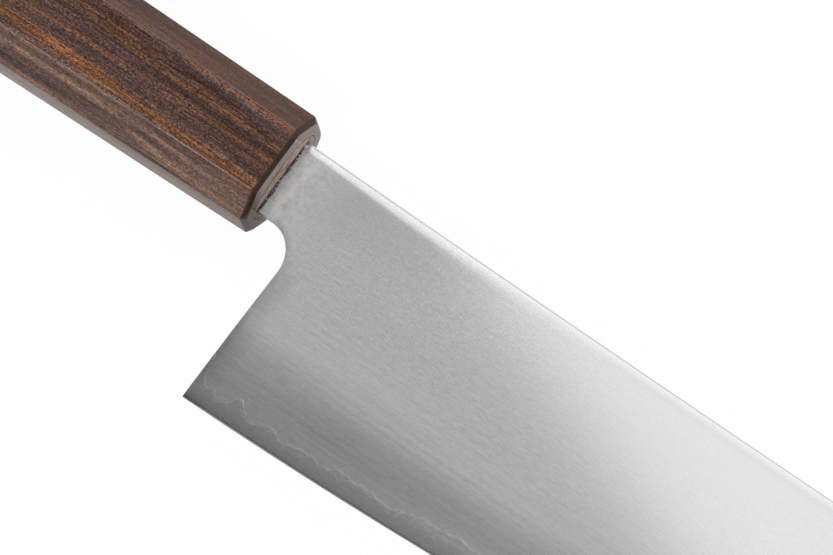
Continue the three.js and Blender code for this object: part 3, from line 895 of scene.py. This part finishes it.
measureHandle(handleWood)
finishPiece(handleWood, "handle_wood", makeHandleWood(), handle["smoothAngle"], "handle_body")


paleWood = {
    "tones": (0.34, 0.5, 0.66, 0.8), "tans": ("#644a3e", "#957a68", "#b59c8e", "#ceb8ac"),
    "stain": "#7a4a35", "blotting": 0.25, "roughness": 0.7,
}


def makePaleWood():
    # Raw pale hardwood, sawn and left bare: matte tan with fine lengthwise fibres.
    material, add = newMaterial("rawPaleWood")
    spot = add("TexCoord", out="Object")
    inMm = add("Mapping", {"Vector": spot, **toMillimetres})
    height = add("SeparateXYZ", (inMm,), 1)
    # layers 0.5 mm thick, seen on their ends
    fibreSpace = add("Mapping", {"Vector": spot, "Scale": (60, 500, 2100)})
    fibres = add("TexNoise", {"Vector": fibreSpace, "Scale": 1.0, "Detail": 4, "Roughness": 0.6}, "Fac")
    # and painted lighter towards the spine, as painted light from above
    paintedTopLight = add("MapRange", (height, 1, 7, 0, 0.16))
    tone = add("Math", (fibres, paintedTopLight), operation="ADD")
    sawn = add("ValToRGB", {"Fac": tone}, stops=ramp(paleWood["tones"], paleWood["tans"]))
    # stained red-brown towards the rim by the handle's own finish
    high, wide = (half * mm for half in handle["oval"])
    middle, stretch = (0, -mouth[1] / high, -mouth[2] / wide), (0, 1 / high, 1 / wide)
    ovalSpace = add("Mapping", {"Vector": spot, "Location": middle, "Scale": stretch})
    outward = add("VectorMath", (ovalSpace,), 1, operation="LENGTH")
    blotted = add("Math", (fibres, paleWood["blotting"], outward), operation="MULTIPLY_ADD")
    rim = add("MapRange", (blotted, 1.04, 1.14, 0, 0.75), **smooth)
    stained = add("Mix", {0: rim, 6: sawn, 7: hexColor(paleWood["stain"])}, **colors)
    surface = {"Base Color": stained, "Roughness": paleWood["roughness"], "IOR": 1.5}
    add("OutputMaterial", {"Surface": add("BsdfPrincipled", surface)})
    return material


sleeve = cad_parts["tang_sleeve"]
sleeve.data.materials.clear()
sleeve.data.materials.append(makePaleWood())


def makeResin():
    # Cured dark resin, squeezed out and left to set: almost black, glossy, lumpy.
    material, add = newMaterial("curedDarkResin")
    spot = add("TexCoord", out="Object")
    # lumps of 0.4 mm
    lumps = add("TexNoise", {"Vector": spot, "Scale": 2400, "Detail": 3, "Roughness": 0.6}, "Fac")
    shade = add("ValToRGB", {"Fac": lumps}, stops=ramp(resin["tones"], resin["darks"]))
    # pale specks of 0.2 mm, painted glints
    glintSpots = add("TexNoise", {"Vector": spot, "Scale": 3400, "Detail": 2, "Roughness": 0.6}, "Fac")
    paintedGlints = add("MapRange", (glintSpots, 0.61, 0.7, 0, 0.9))
    glinted = add("Mix", {0: paintedGlints, 6: shade, 7: hexColor(resin["paintedGlints"])}, **colors)
    bump = add("Bump", {"Height": lumps, "Strength": resin["bump"], "Distance": resin["bumpDepth"] * mm})
    surface = {"Base Color": glinted, "Roughness": resin["roughness"], "IOR": 1.55, "Normal": bump}
    add("OutputMaterial", {"Surface": add("BsdfPrincipled", surface)})
    return material


finishPiece(resinBed, "epoxy_resin", makeResin(), resin["smoothAngle"], "epoxy_bed")
print("materials made")


# Stage: pale floor, soft studio light, camera

stage = {
    "floorSize": 6.0, "floorColor": "#f4f4f4", "whiteToCamera": 0.97, "whiteToGloss": 0.6,
    "panelEdge": ((-10.1, 41.7), (56.4, 15.3)), "panelHeight": 220.0,  # near edge of the overhead softbox
    "panelSize": (0.8, 0.6), "panelPower": 0.97,
    "lamps": {  # place, size, power
        "sideLamp": ((0.5, 0.62, 0.75), 0.16, 1.6),
        "lowLamp": ((-0.05, -0.5, 0.58), 0.3, 2.6),
    },
    "spineward": (0.368, 0.93, 0), "edgeward": (0, -1, 0), "edgeFill": 0.3,  # light of the room
}

clearSelection()
bpy.ops.mesh.primitive_plane_add(size=stage["floorSize"])
floor = bpy.context.active_object
floor.name = "floor"
paleFloor, addToFloor = newMaterial("palePaperFloor")
toCamera = addToFloor("LightPath", out="Is Camera Ray")
toGloss = addToFloor("LightPath", out="Is Glossy Ray")
cameraWhite = addToFloor("Math", (toCamera, stage["whiteToCamera"]), operation="MULTIPLY")
whiteShare = addToFloor("Math", (toGloss, stage["whiteToGloss"], cameraWhite), operation="MULTIPLY_ADD")
paper = addToFloor("BsdfDiffuse", {"Color": hexColor(stage["floorColor"])})
plainWhite = addToFloor("Emission", {"Strength": 1.0})
shownFloor = addToFloor("MixShader", (whiteShare, paper, plainWhite))
addToFloor("OutputMaterial", {"Surface": shownFloor})
floor.data.materials.append(paleFloor)

# The room: how bright it is by direction, along a line from the edge side to the spine side
roomLevels = [
    (-1.0, 0.2), (-0.75, 0.25), (-0.6, 0.75), (-0.5, 0.76), (-0.4, 0.52), (-0.3, 0.08), (-0.17, 0.0),
    (-0.13, 0.17), (-0.09, 0.42), (-0.06, 0.28), (-0.03, 0.26), (0.0, 0.68), (0.03, 0.92), (0.06, 0.72),
    (0.09, 0.48), (0.13, 0.43), (0.18, 0.42), (0.35, 0.54), (0.5, 0.61), (0.7, 0.66), (0.82, 0.8),
    (1.0, 0.68),
]
world = bpy.data.worlds.new("studio")
bpy.context.scene.world = world
addToRoom = emptyTree(world)
direction = addToRoom("TexCoord", out="Generated")
halfAxis = tuple(part / 2 for part in stage["spineward"])  # so that the levels run from 0 to 1 on the ramp
spineward = addToRoom("VectorMath", (direction, halfAxis), 1, operation="DOT_PRODUCT")
onRamp = addToRoom("Math", (spineward, 0.5), operation="ADD")
room = addToRoom(
    "ValToRGB", {"Fac": onRamp}, stops=[(0.5 + s / 2, (level,) * 3 + (1,)) for s, level in roomLevels]
)
edgeward = addToRoom("VectorMath", (direction, stage["edgeward"]), 1, operation="DOT_PRODUCT")
fill = addToRoom("MapRange", (edgeward, 0.5, 0.8, 0, stage["edgeFill"]), **smooth)
filled = addToRoom("Math", (room, fill), operation="ADD")
studio = addToRoom("Background", {"Strength": filled})
backdrop = addToRoom("Background", {"Strength": 1.0})
seen = addToRoom("LightPath", out="Is Camera Ray")
shownRoom = addToRoom("MixShader", (seen, studio, backdrop))
addToRoom("OutputWorld", {"Surface": shownRoom})

nearEdge = [Vector((*spot, stage["panelHeight"])) for spot in stage["panelEdge"]]
edgeRun = (nearEdge[1] - nearEdge[0]).normalized()
depthRun = Vector((-edgeRun.y, edgeRun.x, 0))
panelMiddle = Vector(place((nearEdge[0] + nearEdge[1]) / 2)) + depthRun * stage["panelSize"][1] / 2
clearSelection()
bpy.ops.object.light_add(type="AREA", location=panelMiddle)
panel = bpy.context.active_object
panel.name = "overheadSoftbox"
panel.data.shape, panel.data.energy = "RECTANGLE", stage["panelPower"]
panel.data.size, panel.data.size_y = stage["panelSize"]
panel.rotation_euler = (0, 0, math.atan2(edgeRun.y, edgeRun.x))

for name, (spot, size, power) in stage["lamps"].items():
    clearSelection()
    bpy.ops.object.light_add(type="AREA", location=spot)
    lamp = bpy.context.active_object
    lamp.name = name
    lamp.data.shape, lamp.data.size, lamp.data.energy = "SQUARE", size, power
    lamp.rotation_euler = (Vector(place((0, 0, 0))) - lamp.location).to_track_quat("-Z", "Y").to_euler()

camera = {
    "target": (28.692, -1.7657, 0.0), "distance": 900.0,
    "tiltX": math.radians(14.173), "tiltY": math.radians(-10.316), "roll": math.radians(36.1345),
    "lens": 233.73, "sensor": 36.0, "clip": (0.01, 20),
}
back = Vector((math.tan(camera["tiltX"]), math.tan(camera["tiltY"]), 1)).normalized()
levelRight = Vector((0, 1, 0)).cross(back).normalized()
levelUp = back.cross(levelRight)
right = math.cos(camera["roll"]) * levelRight + math.sin(camera["roll"]) * levelUp
up = math.cos(camera["roll"]) * levelUp - math.sin(camera["roll"]) * levelRight
clearSelection()
bpy.ops.object.camera_add(location=Vector(place(camera["target"])) + back * camera["distance"] * mm)
eye = bpy.context.active_object
eye.name = "camera"
eye.rotation_euler = Matrix((right, up, back)).transposed().to_euler()
eye.data.sensor_fit, eye.data.sensor_width, eye.data.lens = "HORIZONTAL", camera["sensor"], camera["lens"]
eye.data.clip_start, eye.data.clip_end = camera["clip"]
bpy.context.scene.camera = eye
bpy.context.scene.view_settings.view_transform = "Standard"
print("stage lit, camera placed")
